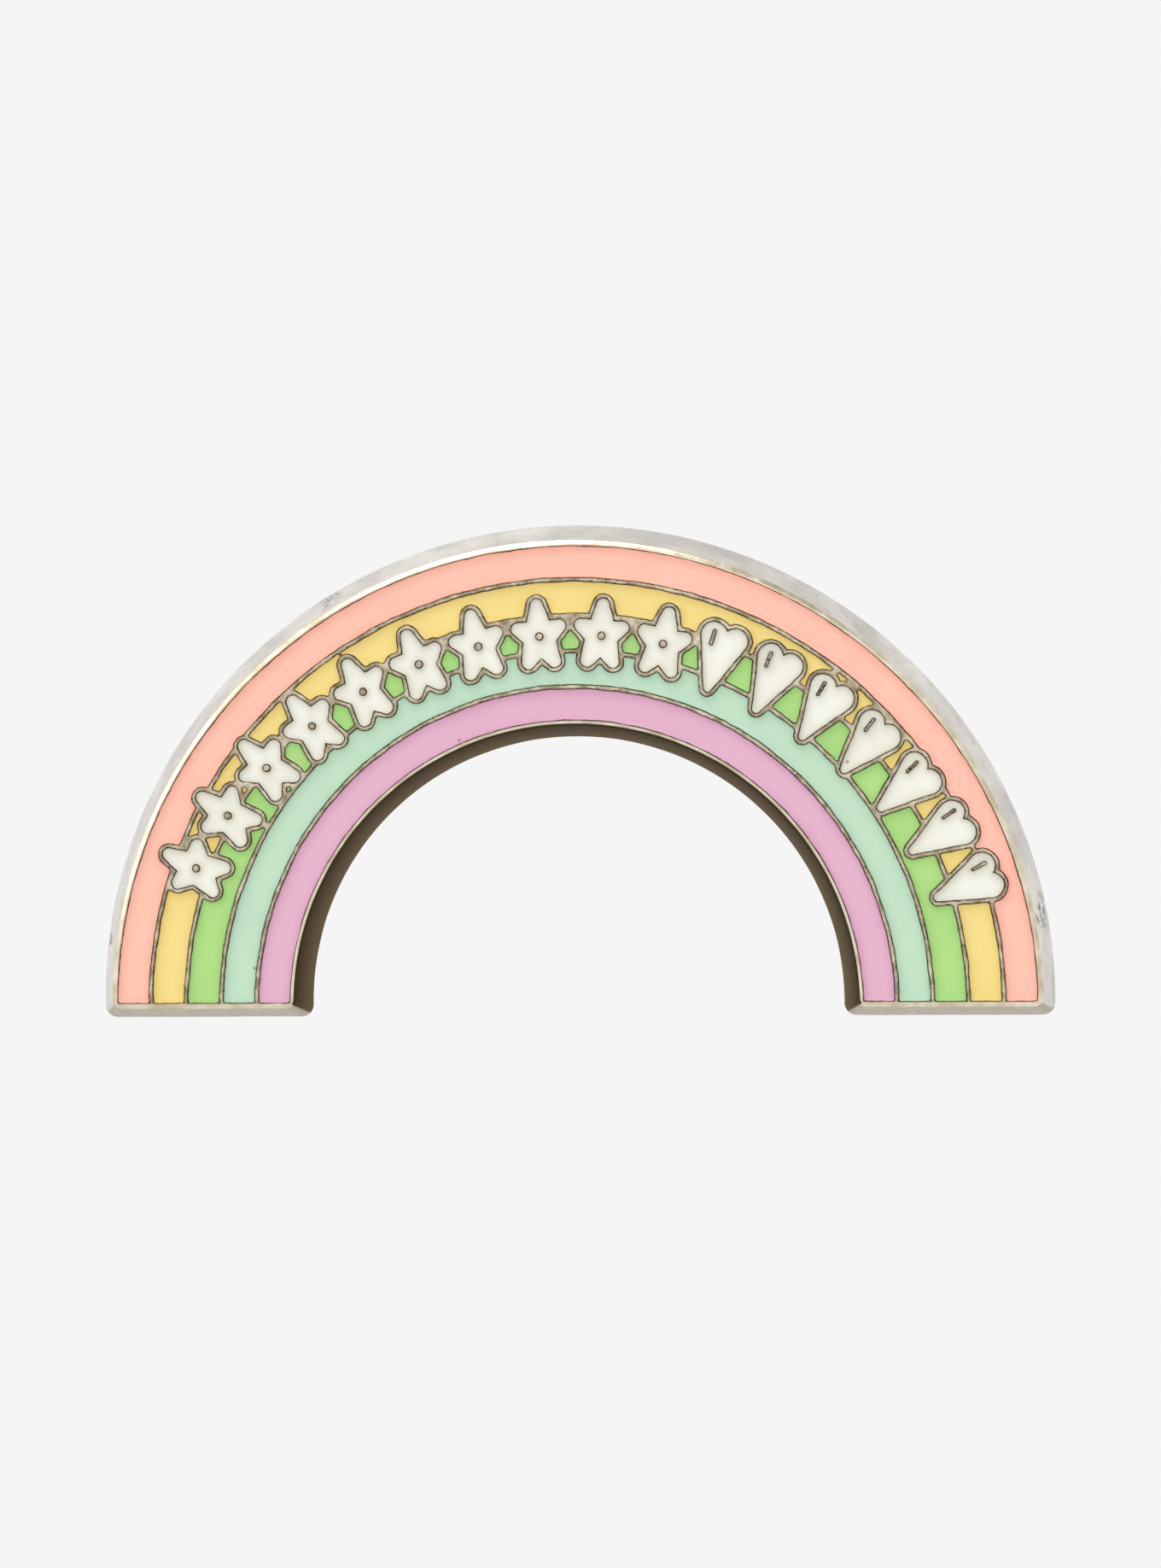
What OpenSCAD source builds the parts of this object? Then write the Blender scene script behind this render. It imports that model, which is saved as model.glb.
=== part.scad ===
// Rainbow arch enamel pin.
// A struck and plated metal arch carries five enamel stripes and a row of enamel stars and hearts.
// It is worn on two posts, each held by a butterfly clutch with two squeeze wings.
//
// X runs across the arch, Z is up, and the face looks towards -Y.
// The origin is on the back face, halfway across the band at the crown.

/* [Arch] */
// Width across the feet, at the back edge
arch_w = 44.5; // [42:0.5:48]
// Width of the band, at the back edge
band_w = 9.9; // [9.6:0.1:10.4]
// Thickness from the back face to the tops of the raised lines
arch_t = 2.4; // [2:0.1:3]
// How far each side wall leans in between the back face and the front
draft = 0.72; // [0.4:0.02:0.76]
// Radius of the four corners of the feet, at the back edge
foot_corner_r = 0.5; // [0.2:0.05:0.6]

/* [Raised lines and enamel] */
// Width of the rim and of every raised line
line_w = 0.24; // [0.2:0.01:0.26]
// Depth of the pockets that hold the enamel
pocket_depth = 0.35; // [0.25:0.05:0.6]
// How far the enamel lies below the tops of the lines
enamel_sink = 0.12; // [0.05:0.01:0.15]
// Clearance between a fill and its pocket's walls
fit_gap = 0.01; // [0.005:0.005:0.02]
// Radius of the corners of the enamel fills
cell_corner_r = 0.06; // [0.05:0.01:0.12]

/* [Row of stars and hearts] */
// Radius of the circle that the row follows
row_r = 19.8; // [19.6:0.1:20]
// How far that circle's centre lies below the arch's centre
row_drop = 2.6; // [2.4:0.1:2.8]
// Number of stars
star_count = 10; // [1:1:10]
// Angle of the first star, from straight up
star_start = -62.6; // [-64:0.1:-60]
// Angle from one star to the next
star_step = 8.3; // [8.2:0.05:8.6]
// Number of hearts
heart_count = 7; // [1:1:7]
// Angle of the first heart, from straight up
heart_start = 19.6; // [19:0.1:20]
// Angle from one heart to the next
heart_step = 7.65; // [7.5:0.05:7.8]

/* [Posts] */
// Angle of each post from straight up, about the arch's centre
post_angle = 42; // [35:1:50]
// Diameter of a post
post_d = 1.1; // [0.9:0.05:1.15]
// Length of a post behind the back face
post_l = 8; // [7.5:0.1:10]
// Diameter of the round recess that holds the post's head
recess_d = 3.4; // [3:0.1:4]
// Depth of that recess
recess_depth = 0.2; // [0.1:0.05:0.4]

/* [Clutches] */
// Space between the back face and a clutch, where the cloth goes
cloth_gap = 2.2; // [2.1:0.1:3]
// Diameter of a clutch
clutch_d = 9; // [8.8:0.1:9.6]
// Thickness of the clutch's sheet metal
sheet_t = 0.35; // [0.3:0.01:0.36]
// Height of a clutch, from its base to the top of its cover
clutch_h = 4.3; // [4.2:0.1:4.8]
// Outer diameter of the cover
cover_d = 7; // [7:0.1:7.2]

/* [Hidden] */
$fn = 96;
symbol_fn = 24;
stripe_fn = 180;

function two_digits(i) = str(i < 10 ? "0" : "", i);
SIDES = [-1, 1];
SIDE_NAMES = ["left", "right"];

// Colours
PLATE = "#d8cfc6";
SOLDER = "#a9a6a2";
SPRING_STEEL = "#b8bcc0";
CORAL = "#fdc3ac";
YELLOW = "#f5da8d";
GREEN = "#a6d681";
MINT = "#c0dec2";
LILAC = "#e2b0c9";
OFF_WHITE = "#e8e9d2";

// Arch
back_out_r = arch_w / 2;
back_in_r = back_out_r - band_w;
front_out_r = back_out_r - draft;
front_in_r = back_in_r + draft;
mid_r = back_out_r - band_w / 2;
floor_h = arch_t - pocket_depth;
enamel_top_h = arch_t - enamel_sink;
stripe_count = 5;
stripe_step = (front_out_r - front_in_r - line_w) / stripe_count;
beyond = 1;
side_inset = 0.004;

// Star: a disc in the middle, and five arms that end in small discs
star_arms = 5;
star_reach = 1.02;
star_stretch = 1.4;
star_core_r = 0.7;
star_tip_r = 0.29;
star_dot_r = 0.2;

// Heart: two bars that lean together, from the lobes down to one tip
heart_lobe_r = 0.58;
heart_lobe_x = 0.5;
heart_lobe_y = 1.04;
heart_tip_r = 0.18;
heart_tip_y = -1.4;
gleam_r = 0.1;
gleam_top = [-0.54, 1.2];
gleam_bottom = [-0.5, 0.6];

// Post and solder
post_r = post_d / 2;
post_head_r = 1.2;
post_head_h = 0.3;
post_tip_l = 1;
post_tip_r = 0.08;
post_groove_r = 0.12;
post_grooves = [4.9, 6.1];
recess_r = recess_d / 2;
solder_h = recess_depth + 0.06;

// Clutch: its own Z runs along the post, away from the arch
clutch_r = clutch_d / 2;
cover_r = cover_d / 2;
cover_in_r = cover_r - sheet_t;
clutch_hole_r = post_r + 0.12;
roll_r = 0.5;
neck_r = 1;
neck_h = 0.75;
slot_w = 3.2;
slot_bottom = 2.7;
slot_top = 3.75;

// Wing: a jaw that closes on the post, a web that stands up from it, and an ear outside the cover
jaw_bottom = 1.55;
jaw_gap = 0.1;
jaw_w = 2;
jaw_hole_r = post_r + 0.04;
web_x = 2;
web_w = 1.8;
ear_bottom = 2.8;
ear_bend_x = 3.9;
ear_neck_r = 1.2;
ear_tip_r = 1.5;
ear_reach = 1.1;
ear_lean = 58;

// Spring: a closed ring of wire round the two webs
wire_r = 0.17;
spring_r = cover_in_r - wire_r - fit_gap;
spring_h = 2.35;

// ---- Flat shapes on the face ----

// A bar that runs from a disc at p to a disc at q, and ends in the disc at q.
// Its sides lie a hair inside both discs, so that they cross the discs' edges instead of grazing them.
module tapered_bar(p, p_r, q, q_r) {
    along = q - p;
    lean = atan2(along[1], along[0]);
    open = acos((p_r - q_r) / norm(along));
    function rim(centre, r, side) = centre
        + (r - side_inset) * [cos(lean + side * open), sin(lean + side * open)];
    polygon([rim(p, p_r, 1), rim(q, q_r, 1), rim(q, q_r, -1), rim(p, p_r, -1)]);
    translate(q) circle(q_r);
}

module star(grow = 0) {
    $fn = symbol_fn;
    circle(star_core_r + grow);
    for (i = [0 : star_arms - 1]) {
        turn = 90 + i * 360 / star_arms;
        tip = star_reach * [cos(turn), star_stretch * sin(turn)];
        tapered_bar([0, 0], star_core_r + grow, tip, star_tip_r + grow);
    }
}

module heart(grow = 0) {
    $fn = symbol_fn;
    translate([0, heart_tip_y]) circle(heart_tip_r + grow);
    for (side = SIDES) {
        tapered_bar([0, heart_tip_y], heart_tip_r + grow,
            [side * heart_lobe_x, heart_lobe_y], heart_lobe_r + grow);
    }
}

// Puts a shape on the row, upright at the angle given
module on_row(angle) {
    translate([0, -row_drop]) rotate(-angle) translate([0, row_r]) children();
}

module on_each_star() {
    for (i = [0 : star_count - 1]) on_row(star_start + i * star_step) children();
}

module on_each_heart() {
    for (i = [0 : heart_count - 1]) on_row(heart_start + i * heart_step) children();
}

// The cells of one stripe, counted from 0 at the inside of the arch
module stripe_cells(index) {
    inner_r = front_in_r + line_w + index * stripe_step;
    difference() {
        circle(inner_r + stripe_step - line_w, $fn = stripe_fn);
        circle(inner_r, $fn = stripe_fn);
        translate([-back_out_r, line_w - arch_w]) square(arch_w);
        on_each_star() star(line_w);
        on_each_heart() heart(line_w);
    }
}

// A star's fill lies round a raised dot
module star_cell() {
    difference() {
        star();
        circle(star_dot_r, $fn = symbol_fn);
    }
}

// A heart's fill lies round a short raised gleam
module heart_cell() {
    difference() {
        heart();
        translate(gleam_top) circle(gleam_r, $fn = symbol_fn);
        tapered_bar(gleam_top, gleam_r, gleam_bottom, gleam_r, $fn = symbol_fn);
    }
}

// Enamel stands clear of its cell's walls, has round corners, and leaves a cell too narrow for it empty
module fill_of() {
    offset(r = cell_corner_r - fit_gap, $fn = symbol_fn) offset(r = -cell_corner_r, $fn = symbol_fn)
        children();
}

// ---- Arch ----

// Stands a drawing of the face up, so that its own Z runs from the back face to the front
module stand_up() {
    translate([0, 0, -mid_r]) rotate([90, 0, 0]) children();
}

module slab(from_h, to_h) {
    stand_up() translate([0, 0, from_h]) linear_extrude(to_h - from_h) children();
}

// Rounds off one corner of a foot, whose side walls meet the foot at x
module foot_corner(x, side) {
    translate([x, -draft, -beyond]) linear_extrude(arch_t + 2 * beyond) difference() {
        translate([side > 0 ? -foot_corner_r : -beyond, -beyond])
            square([foot_corner_r + beyond, foot_corner_r + beyond]);
        translate([-side * foot_corner_r, foot_corner_r]) circle(foot_corner_r);
        translate([side > 0 ? -foot_corner_r - arch_w : foot_corner_r, -2 * beyond]) square(arch_w);
    }
}

module arch_blank() {
    foot_out_x = sqrt(pow(back_out_r, 2) - pow(draft, 2));
    foot_in_x = sqrt(pow(back_in_r, 2) - pow(draft, 2));
    stand_up() difference() {
        rotate_extrude() polygon([[back_in_r, 0], [back_out_r, 0],
            [front_out_r, arch_t], [front_in_r, arch_t]]);
        translate([0, -draft, 0]) rotate([-atan(draft / arch_t), 0, 0])
            translate([-arch_w, -2 * arch_w, -arch_w]) cube(2 * arch_w);
        for (turn = SIDES) {
            foot_corner(turn * foot_out_x, turn);
            foot_corner(turn * foot_in_x, -turn);
        }
    }
}

module arch_body() {
    color(PLATE) difference() {
        arch_blank();
        slab(floor_h, arch_t + beyond) {
            for (index = [0 : stripe_count - 1]) stripe_cells(index);
            on_each_star() star_cell();
            on_each_heart() heart_cell();
        }
        for (side = SIDES) at_post(side) translate([0, 0, -recess_depth])
            cylinder(r = recess_r, h = recess_depth + beyond);
    }
}

// ---- Enamel ----

module stripe_enamel(index, tint) {
    color(tint) slab(floor_h, enamel_top_h) fill_of() stripe_cells(index);
}

module star_enamel(i) {
    color(OFF_WHITE) slab(floor_h, enamel_top_h) fill_of()
        on_row(star_start + (i - 1) * star_step) star_cell();
}

module heart_enamel(i) {
    color(OFF_WHITE) slab(floor_h, enamel_top_h) fill_of()
        on_row(heart_start + (i - 1) * heart_step) heart_cell();
}

// ---- Posts ----

// Puts a piece at a post: its own Z runs back along the post, and its own X along the band
module at_post(side) {
    turn = side * post_angle;
    translate([mid_r * sin(turn), 0, mid_r * cos(turn) - mid_r])
        rotate([0, turn, 0]) rotate([-90, 0, 0]) children();
}

module post(side) {
    color(PLATE) at_post(side) rotate_extrude() difference() {
        polygon([[0, -recess_depth], [post_head_r, -recess_depth],
            [post_head_r, post_head_h - recess_depth], [post_r, post_head_h - recess_depth],
            [post_r, post_l - post_tip_l], [post_tip_r, post_l], [0, post_l]]);
        for (h = post_grooves) translate([post_r + post_groove_r / 3, h]) circle(post_groove_r);
    }
}

module solder(side) {
    inner_r = post_head_r + fit_gap;
    outer_r = recess_r - fit_gap;
    color(SOLDER) at_post(side) translate([0, 0, -recess_depth]) rotate_extrude() difference() {
        translate([inner_r, 0]) square([outer_r - inner_r, solder_h]);
        translate([outer_r, solder_h + fit_gap]) circle(outer_r - inner_r - 2 * fit_gap);
    }
}

// ---- Clutches ----

module at_clutch(side) {
    at_post(side) translate([0, 0, cloth_gap]) children();
}

module clutch_base(side) {
    color(PLATE) at_clutch(side) rotate_extrude() {
        translate([clutch_hole_r, 0]) square([clutch_r - roll_r - clutch_hole_r, sheet_t]);
        translate([clutch_hole_r, 0]) square([neck_r - clutch_hole_r, neck_h]);
        translate([clutch_r - roll_r, roll_r]) circle(roll_r);
    }
}

module clutch_cover(side) {
    color(PLATE) at_clutch(side) difference() {
        rotate_extrude() {
            translate([cover_in_r, sheet_t]) square([sheet_t, clutch_h - sheet_t]);
            translate([clutch_hole_r, clutch_h - sheet_t]) square([cover_in_r - clutch_hole_r, sheet_t]);
        }
        translate([-cover_r - beyond, -slot_w / 2, slot_bottom])
            cube([2 * (cover_r + beyond), slot_w, slot_top - slot_bottom]);
    }
}

// One squeeze wing: way is 1 or -1 along the band
module wing(side, way) {
    color(PLATE) at_clutch(side) rotate([0, 0, way > 0 ? 0 : 180]) {
        difference() {
            translate([jaw_gap, -jaw_w / 2, jaw_bottom]) cube([web_x + sheet_t - jaw_gap, jaw_w, sheet_t]);
            cylinder(r = jaw_hole_r, h = clutch_h);
        }
        translate([web_x, -web_w / 2, jaw_bottom]) cube([sheet_t, web_w, ear_bottom + sheet_t - jaw_bottom]);
        translate([web_x, -ear_neck_r, ear_bottom]) cube([ear_bend_x - web_x, 2 * ear_neck_r, sheet_t]);
        translate([ear_bend_x, 0, ear_bottom]) rotate([0, -ear_lean, 0]) linear_extrude(sheet_t) {
            polygon([[0, -ear_neck_r], [ear_reach, -ear_tip_r], [ear_reach, ear_tip_r], [0, ear_neck_r]]);
            translate([ear_reach, 0]) circle(ear_tip_r);
        }
    }
}

module grip_spring(side) {
    color(SPRING_STEEL) at_clutch(side) rotate_extrude() translate([spring_r, spring_h]) circle(wire_r);
}

// ---- Nodes ----

arch_body();
stripe_enamel(4, CORAL);  // coral_enamel
stripe_enamel(3, YELLOW);  // yellow_enamel
stripe_enamel(2, GREEN);  // green_enamel
stripe_enamel(1, MINT);  // mint_enamel
stripe_enamel(0, LILAC);  // lilac_enamel
for (i = [1 : star_count]) {
    star_enamel(i);
}
for (i = [1 : heart_count]) {
    heart_enamel(i);
}
for (k = [0, 1]) {
    side = SIDES[k];
    name = SIDE_NAMES[k];
    post(side);
    solder(side);
    clutch_base(side);
    clutch_cover(side);
    wing(side, side);
    wing(side, -side);
    grip_spring(side);
}
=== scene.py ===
"""Looks of the rainbow arch enamel pin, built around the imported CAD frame.

The outlines of every enamel fill come from the CAD fills themselves, so that the struck plate and
the enamel fit each other. Points on the face are (u, v) in millimetres about the arch's centre, and
h is the height above the back face. World coordinates are metres in the CAD's own frame.
"""

import math

import bmesh
import bpy
import numpy as np
from mathutils import Matrix, Quaternion, Vector, kdtree, noise
from mathutils.geometry import delaunay_2d_cdt


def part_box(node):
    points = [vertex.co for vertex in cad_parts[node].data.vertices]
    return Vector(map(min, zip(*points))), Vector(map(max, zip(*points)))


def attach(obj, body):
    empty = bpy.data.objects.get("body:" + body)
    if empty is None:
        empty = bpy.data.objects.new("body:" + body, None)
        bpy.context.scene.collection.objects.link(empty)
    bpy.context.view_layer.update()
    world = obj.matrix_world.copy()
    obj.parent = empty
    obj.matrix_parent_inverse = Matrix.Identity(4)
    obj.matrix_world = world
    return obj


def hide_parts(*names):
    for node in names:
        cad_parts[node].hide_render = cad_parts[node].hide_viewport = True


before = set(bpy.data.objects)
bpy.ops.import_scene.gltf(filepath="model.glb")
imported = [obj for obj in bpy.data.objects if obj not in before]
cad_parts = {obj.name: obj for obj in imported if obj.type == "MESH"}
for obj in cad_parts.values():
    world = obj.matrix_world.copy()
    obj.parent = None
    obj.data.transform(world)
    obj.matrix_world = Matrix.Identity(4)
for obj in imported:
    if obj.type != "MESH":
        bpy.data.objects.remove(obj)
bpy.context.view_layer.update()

MM = 0.001
WELD = 0.0004 * MM
BODY = "arch"
SIDES = {"left": -1, "right": 1}

# Arch, in millimetres. DRAFT is how far the side walls lean in from the back to the face.
ARCH_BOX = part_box("arch_body")
ARCH_T = -ARCH_BOX[0].y / MM
BACK_OUT_R = ARCH_BOX[1].x / MM
BAND_W = 9.9
BACK_IN_R = BACK_OUT_R - BAND_W
MID_R = BACK_OUT_R - BAND_W / 2
DRAFT = 0.72
FOOT_CORNER_BACK = 0.62
FOOT_CORNER_FRONT = 0.45
CORNER_SHRINK = 1.9
RIM_ROUND = 0.2
RIM_FLAT = 0.02
BACK_ROUND = 0.16
# Scuffs on the outer wall: angle in degrees about the arch's centre, and size in millimetres
SCUFFS = ((121, 0.55), (11, 0.8), (172, 0.35))

# Lines and enamel, in millimetres. FILL_EDGE is the enamel's depth below the lines at its edge.
POCKET_DEPTH = 0.35
FLOOR_H = ARCH_T - POCKET_DEPTH
FIT_GAP = 0.01
RING_STEP = 0.085
SHOULDER = 0.075
# How far the lines are darkened beside a pocket: partly staining, partly painted shade in the crease.
LINE_STAIN_AND_SHADE = 0.075
UNEVEN = 0.014
FILL_EDGE = 0.075
FILL_SINK = 0.065
FILL_FALL = 0.13
FILL_LAP = 0.012
FILL_SHADE = 0.16

# Posts and clutches, in millimetres. CLOTH_GAP is left between the arch and a clutch at rest.
POST_ANGLE = math.radians(42)
POST_R = 0.55
POST_L = 8
HEAD_R = 1.2
RECESS_R = 1.7
RECESS_DEPTH = 0.2
CLOTH_GAP = 2.2
CLUTCH_HOLE_R = 0.67
SHEET_T = 0.35

# A wing's strip seen from the side: along the jaw, up the web, out by the neck and up the ear
JAW_X = 0.1
JAW_Z = 1.725
WEB_X = 2.175
NECK_Z = 2.975
BEND_X = 3.803
WING_BEND_R = 0.34
NOTCH_R = 0.59
NOTCH_L = 1.5
EAR_LEAN = math.radians(58)
EAR_L = 2.5
EAR_R = 1.5
EAR_TIP = 0.005
DISH_L = 3
DISH = 0.05


# ---- Shapes as lists of points ----

NO_POINTS = np.zeros((0, 2))


def resampled(ring, step):
    """A closed ring of points, spaced evenly."""
    closed = np.vstack([ring, ring[:1]])
    along = np.concatenate([[0], np.cumsum(np.linalg.norm(np.diff(closed, axis=0), axis=1))])
    count = max(12, round(along[-1] / step))
    at = np.linspace(0, along[-1], count, endpoint=False)
    return np.column_stack([np.interp(at, along, closed[:, k]) for k in (0, 1)])


def outward(ring):
    """The unit vector at each point of a ring that points away from the area on its left."""
    ahead = np.roll(ring, -1, axis=0) - np.roll(ring, 1, axis=0)
    normal = np.column_stack([ahead[:, 1], -ahead[:, 0]])
    return normal / np.linalg.norm(normal, axis=1)[:, None]


def uneven(points, scale, seed):
    """Smooth noise from -1 to 1 at each point; scale is in waves per millimetre."""
    return np.array([noise.noise(Vector((p[0] * scale, p[1] * scale, seed))) for p in points])


def hex_grid(lo, hi, step):
    """Points on a triangular grid over a rectangle."""
    rows = []
    for k, v in enumerate(np.arange(lo[1], hi[1], step * math.sqrt(3) / 2)):
        u = np.arange(lo[0] + (k % 2) * step / 2, hi[0], step)
        rows.append(np.column_stack([u, np.full(len(u), v)]))
    return np.vstack(rows)


def thinned(points, step):
    """The points without those that share a cell of the given size with an earlier one."""
    taken = {}
    for p in points:
        taken.setdefault((round(p[0] / step), round(p[1] / step)), p)
    return np.array(list(taken.values())).reshape(-1, 2)


class Border:
    """Measures how far points lie from a set of closed rings."""

    def __init__(self, rings):
        self.points = np.vstack(rings)
        self.outward = np.vstack([outward(r) for r in rings])
        self.ahead = np.vstack([np.roll(r, -1, axis=0) for r in rings])
        self.behind = np.vstack([np.roll(r, 1, axis=0) for r in rings])
        self.tree = kdtree.KDTree(len(self.points))
        for i, p in enumerate(self.points):
            self.tree.insert((p[0], p[1], 0), i)
        self.tree.balance()

    def distance(self, where):
        """How far each of the points lies from the rings, measured near its closest ring point."""
        near = [self.tree.find((p[0], p[1], 0))[1] for p in where]
        here = self.points[near]
        return np.minimum(
            self._to_segment(where, here, self.ahead[near]),
            self._to_segment(where, here, self.behind[near]),
        )

    @staticmethod
    def _to_segment(where, a, b):
        along = b - a
        share = np.einsum("ij,ij->i", where - a, along) / np.einsum("ij,ij->i", along, along)
        return np.linalg.norm(where - a - np.clip(share, 0, 1)[:, None] * along, axis=1)


def ring_area(ring):
    """The area inside a ring, negative if it runs clockwise."""
    ahead = np.roll(ring, -1, axis=0)
    return 0.5 * float((ring[:, 0] * ahead[:, 1] - ahead[:, 0] * ring[:, 1]).sum())


def triangulated(rings, inside):
    """Vertices and triangles that fill the area between rings, with extra points inside it."""
    points = []
    areas = []
    for ring in rings:
        areas.append(range(len(points), len(points) + len(ring)))
        points += [Vector(p) for p in (ring if ring_area(ring) > 0 else ring[::-1])]
    points += [Vector(p) for p in inside]
    inside_with_holes = 2
    verts, _, faces, *_ = delaunay_2d_cdt(points, [], [list(a) for a in areas], inside_with_holes, 1e-7)
    return np.array([(v.x, v.y) for v in verts]), faces


# ---- Meshes ----


class Mesh:
    """Collects vertices on the face in (u, v, h), their faces, and one value per named mark."""

    def __init__(self, *marks):
        self.verts = []
        self.faces = []
        self.marks = {name: [] for name in marks}
        self.count = 0

    def add(self, uv, h, faces, flip=False, **marks):
        """Adds vertices and their faces. A mark that isn't given is 0 on them."""
        uv = np.asarray(uv, float)
        h = np.broadcast_to(h, len(uv))
        self.verts.append(np.column_stack([uv, h]))
        for f in faces:
            face = [i + self.count for i in f]
            self.faces.append(face[::-1] if flip else face)
        for name, values in self.marks.items():
            values.append(np.broadcast_to(marks.get(name, 0.0), len(uv)))
        self.count += len(uv)

    def strip(self, lower, lower_h, upper, upper_h, **marks):
        """Joins two rings of equal length with quads that face right of the rings' direction.

        A mark is one value for both rings, or a (lower, upper) pair.
        """
        count = len(lower)
        quads = [(i, (i + 1) % count, count + (i + 1) % count, count + i) for i in range(count)]
        heights = np.concatenate([np.broadcast_to(lower_h, count), np.broadcast_to(upper_h, count)])
        for name, value in marks.items():
            pair = value if isinstance(value, tuple) else (value, value)
            marks[name] = np.concatenate([np.broadcast_to(v, count) for v in pair])
        self.add(np.vstack([lower, upper]), heights, quads, **marks)

    def world(self):
        """The vertices in world coordinates."""
        points = np.vstack(self.verts)
        return np.column_stack([points[:, 0], -points[:, 2], points[:, 1] - MID_R]) * MM

    def finished(self, name):
        """The object, with each mark as an attribute that its material reads."""
        marks = {mark: np.concatenate(values) for mark, values in self.marks.items()}
        return welded(new_object(name, self.world(), self.faces, marks), 50)


def new_object(name, verts, faces, marks=None):
    """A mesh object in the scene, with one float attribute per mark."""
    mesh = bpy.data.meshes.new(name)
    mesh.from_pydata([tuple(v) for v in verts], [], faces)
    for mark, values in (marks or {}).items():
        attribute = mesh.attributes.new(mark, "FLOAT", "POINT")
        attribute.data.foreach_set("value", np.asarray(values, np.float32))
    made = bpy.data.objects.new(name, mesh)
    bpy.context.scene.collection.objects.link(made)
    return made


def welded(obj, sharp_angle):
    """Joins the vertices that meet, drops loose parts and sets smooth shading with sharp corners."""
    bm = bmesh.new()
    bm.from_mesh(obj.data)
    bmesh.ops.remove_doubles(bm, verts=bm.verts, dist=WELD)
    bmesh.ops.dissolve_degenerate(bm, edges=bm.edges, dist=WELD / 4)
    bare = [e for e in bm.edges if not e.link_faces]
    bmesh.ops.delete(bm, geom=bare, context="EDGES")
    loose = [v for v in bm.verts if not v.link_faces]
    bmesh.ops.delete(bm, geom=loose, context="VERTS")
    bmesh.ops.recalc_face_normals(bm, faces=bm.faces)
    bm.to_mesh(obj.data)
    bm.free()
    obj.data.polygons.foreach_set("use_smooth", [True] * len(obj.data.polygons))
    obj.data.set_sharp_from_angle(angle=math.radians(sharp_angle))
    return obj


def facing_out(obj):
    """Joins the vertices that meet in a piece made in millimetres, and turns its faces outward."""
    bm = bmesh.new()
    bm.from_mesh(obj.data)
    bmesh.ops.remove_doubles(bm, verts=bm.verts, dist=1e-5)
    bmesh.ops.recalc_face_normals(bm, faces=bm.faces)
    bm.to_mesh(obj.data)
    bm.free()
    return obj


def with_modifiers_applied(obj):
    """Replaces a piece's mesh by the one that its modifiers make."""
    bpy.context.view_layer.update()
    evaluated = obj.evaluated_get(bpy.context.evaluated_depsgraph_get())
    mesh = bpy.data.meshes.new_from_object(evaluated)
    obj.modifiers.clear()
    obj.data = mesh
    return obj


def bevelled(obj, width, segments=2):
    """Rounds the sharp corners of a piece whose vertices are in millimetres."""
    bevel = obj.modifiers.new("bevel", "BEVEL")
    bevel.width = width
    bevel.segments = segments
    bevel.limit_method = "ANGLE"
    bevel.angle_limit = math.radians(40)
    return with_modifiers_applied(obj)


def piece(obj, node, body, material):
    """Makes obj stand for a CAD node: it rides the node's body and takes the given material, and the
    node is hidden.
    """
    obj.data.materials.clear()
    obj.data.materials.append(material)
    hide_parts(node)
    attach(obj, body)
    return obj


# ---- Outlines from the CAD ----


def top_rings(node):
    """The outlines of a fill's flat top: outer ones run counterclockwise, holes clockwise."""
    bm = bmesh.new()
    bm.from_mesh(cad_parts[node].data)
    bmesh.ops.remove_doubles(bm, verts=bm.verts, dist=WELD)
    bm.verts.index_update()
    top = min(v.co.y for v in bm.verts)
    ahead = set()
    for face in bm.faces:
        if all(abs(v.co.y - top) < WELD for v in face.verts):
            ahead.update((c.vert.index, c.link_loop_next.vert.index) for c in face.loops)
    after = {a: b for a, b in ahead if (b, a) not in ahead}
    place = {v.index: (v.co.x / MM, v.co.z / MM + MID_R) for v in bm.verts}
    bm.free()
    rings = []
    while after:
        at = min(after)
        ring = []
        while at in after:
            ring.append(place[at])
            at = after.pop(at)
        rings.append(np.array(ring))
    return rings


def clear_of_rim(ring):
    """Draws back the points of a fill's outline that would cut into the rim's bevel."""
    least = RIM_ROUND + RIM_FLAT
    radius = np.linalg.norm(ring, axis=1)
    kept = np.clip(radius, BACK_IN_R + DRAFT + least, BACK_OUT_R - DRAFT - least)
    u, v = (ring * (kept / radius)[:, None]).T
    return np.column_stack([u, np.maximum(v, least)])


def struck(ring):
    """A fill's outline as the die really leaves it: at the pocket's wall, and a little uneven."""
    sway_scale, sway_by = 0.9, 0.03
    broad_scale, broad_by = 2.3, 0.022
    fine_scale, fine_by = 6.0, 0.013
    ring = resampled(ring, RING_STEP)
    sway = np.column_stack([uneven(ring, sway_scale, 3.1), uneven(ring, sway_scale, 8.4)]) * sway_by
    swell = uneven(ring, broad_scale, 5.7) * broad_by + uneven(ring, fine_scale, 1.9) * fine_by
    return clear_of_rim(ring + sway + outward(ring) * (FIT_GAP + swell)[:, None])


# The colour of each enamel fill, by CAD node
FILLS = {
    "coral_enamel": "coral",
    "yellow_enamel": "yellow",
    "green_enamel": "green",
    "mint_enamel": "mint",
    "lilac_enamel": "lilac",
}
FILLS.update({n: "white" for n in sorted(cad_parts) if n.startswith(("star_", "heart_"))})
RINGS = {node: [struck(r) for r in top_rings(node)] for node in FILLS}


# ---- Arch ----


def arc(centre, radius, start, end, count):
    """Points of an arc, without its last one. Angles are in radians."""
    angle = np.linspace(start, end, count, endpoint=False)
    return np.column_stack([centre[0] + radius * np.cos(angle), centre[1] + radius * np.sin(angle)])


def level_line(start, end, v, count):
    """Points of a line along u at one v, without its last one."""
    return np.column_stack([np.linspace(start, end, count, endpoint=False), np.full(count, v)])


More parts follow.
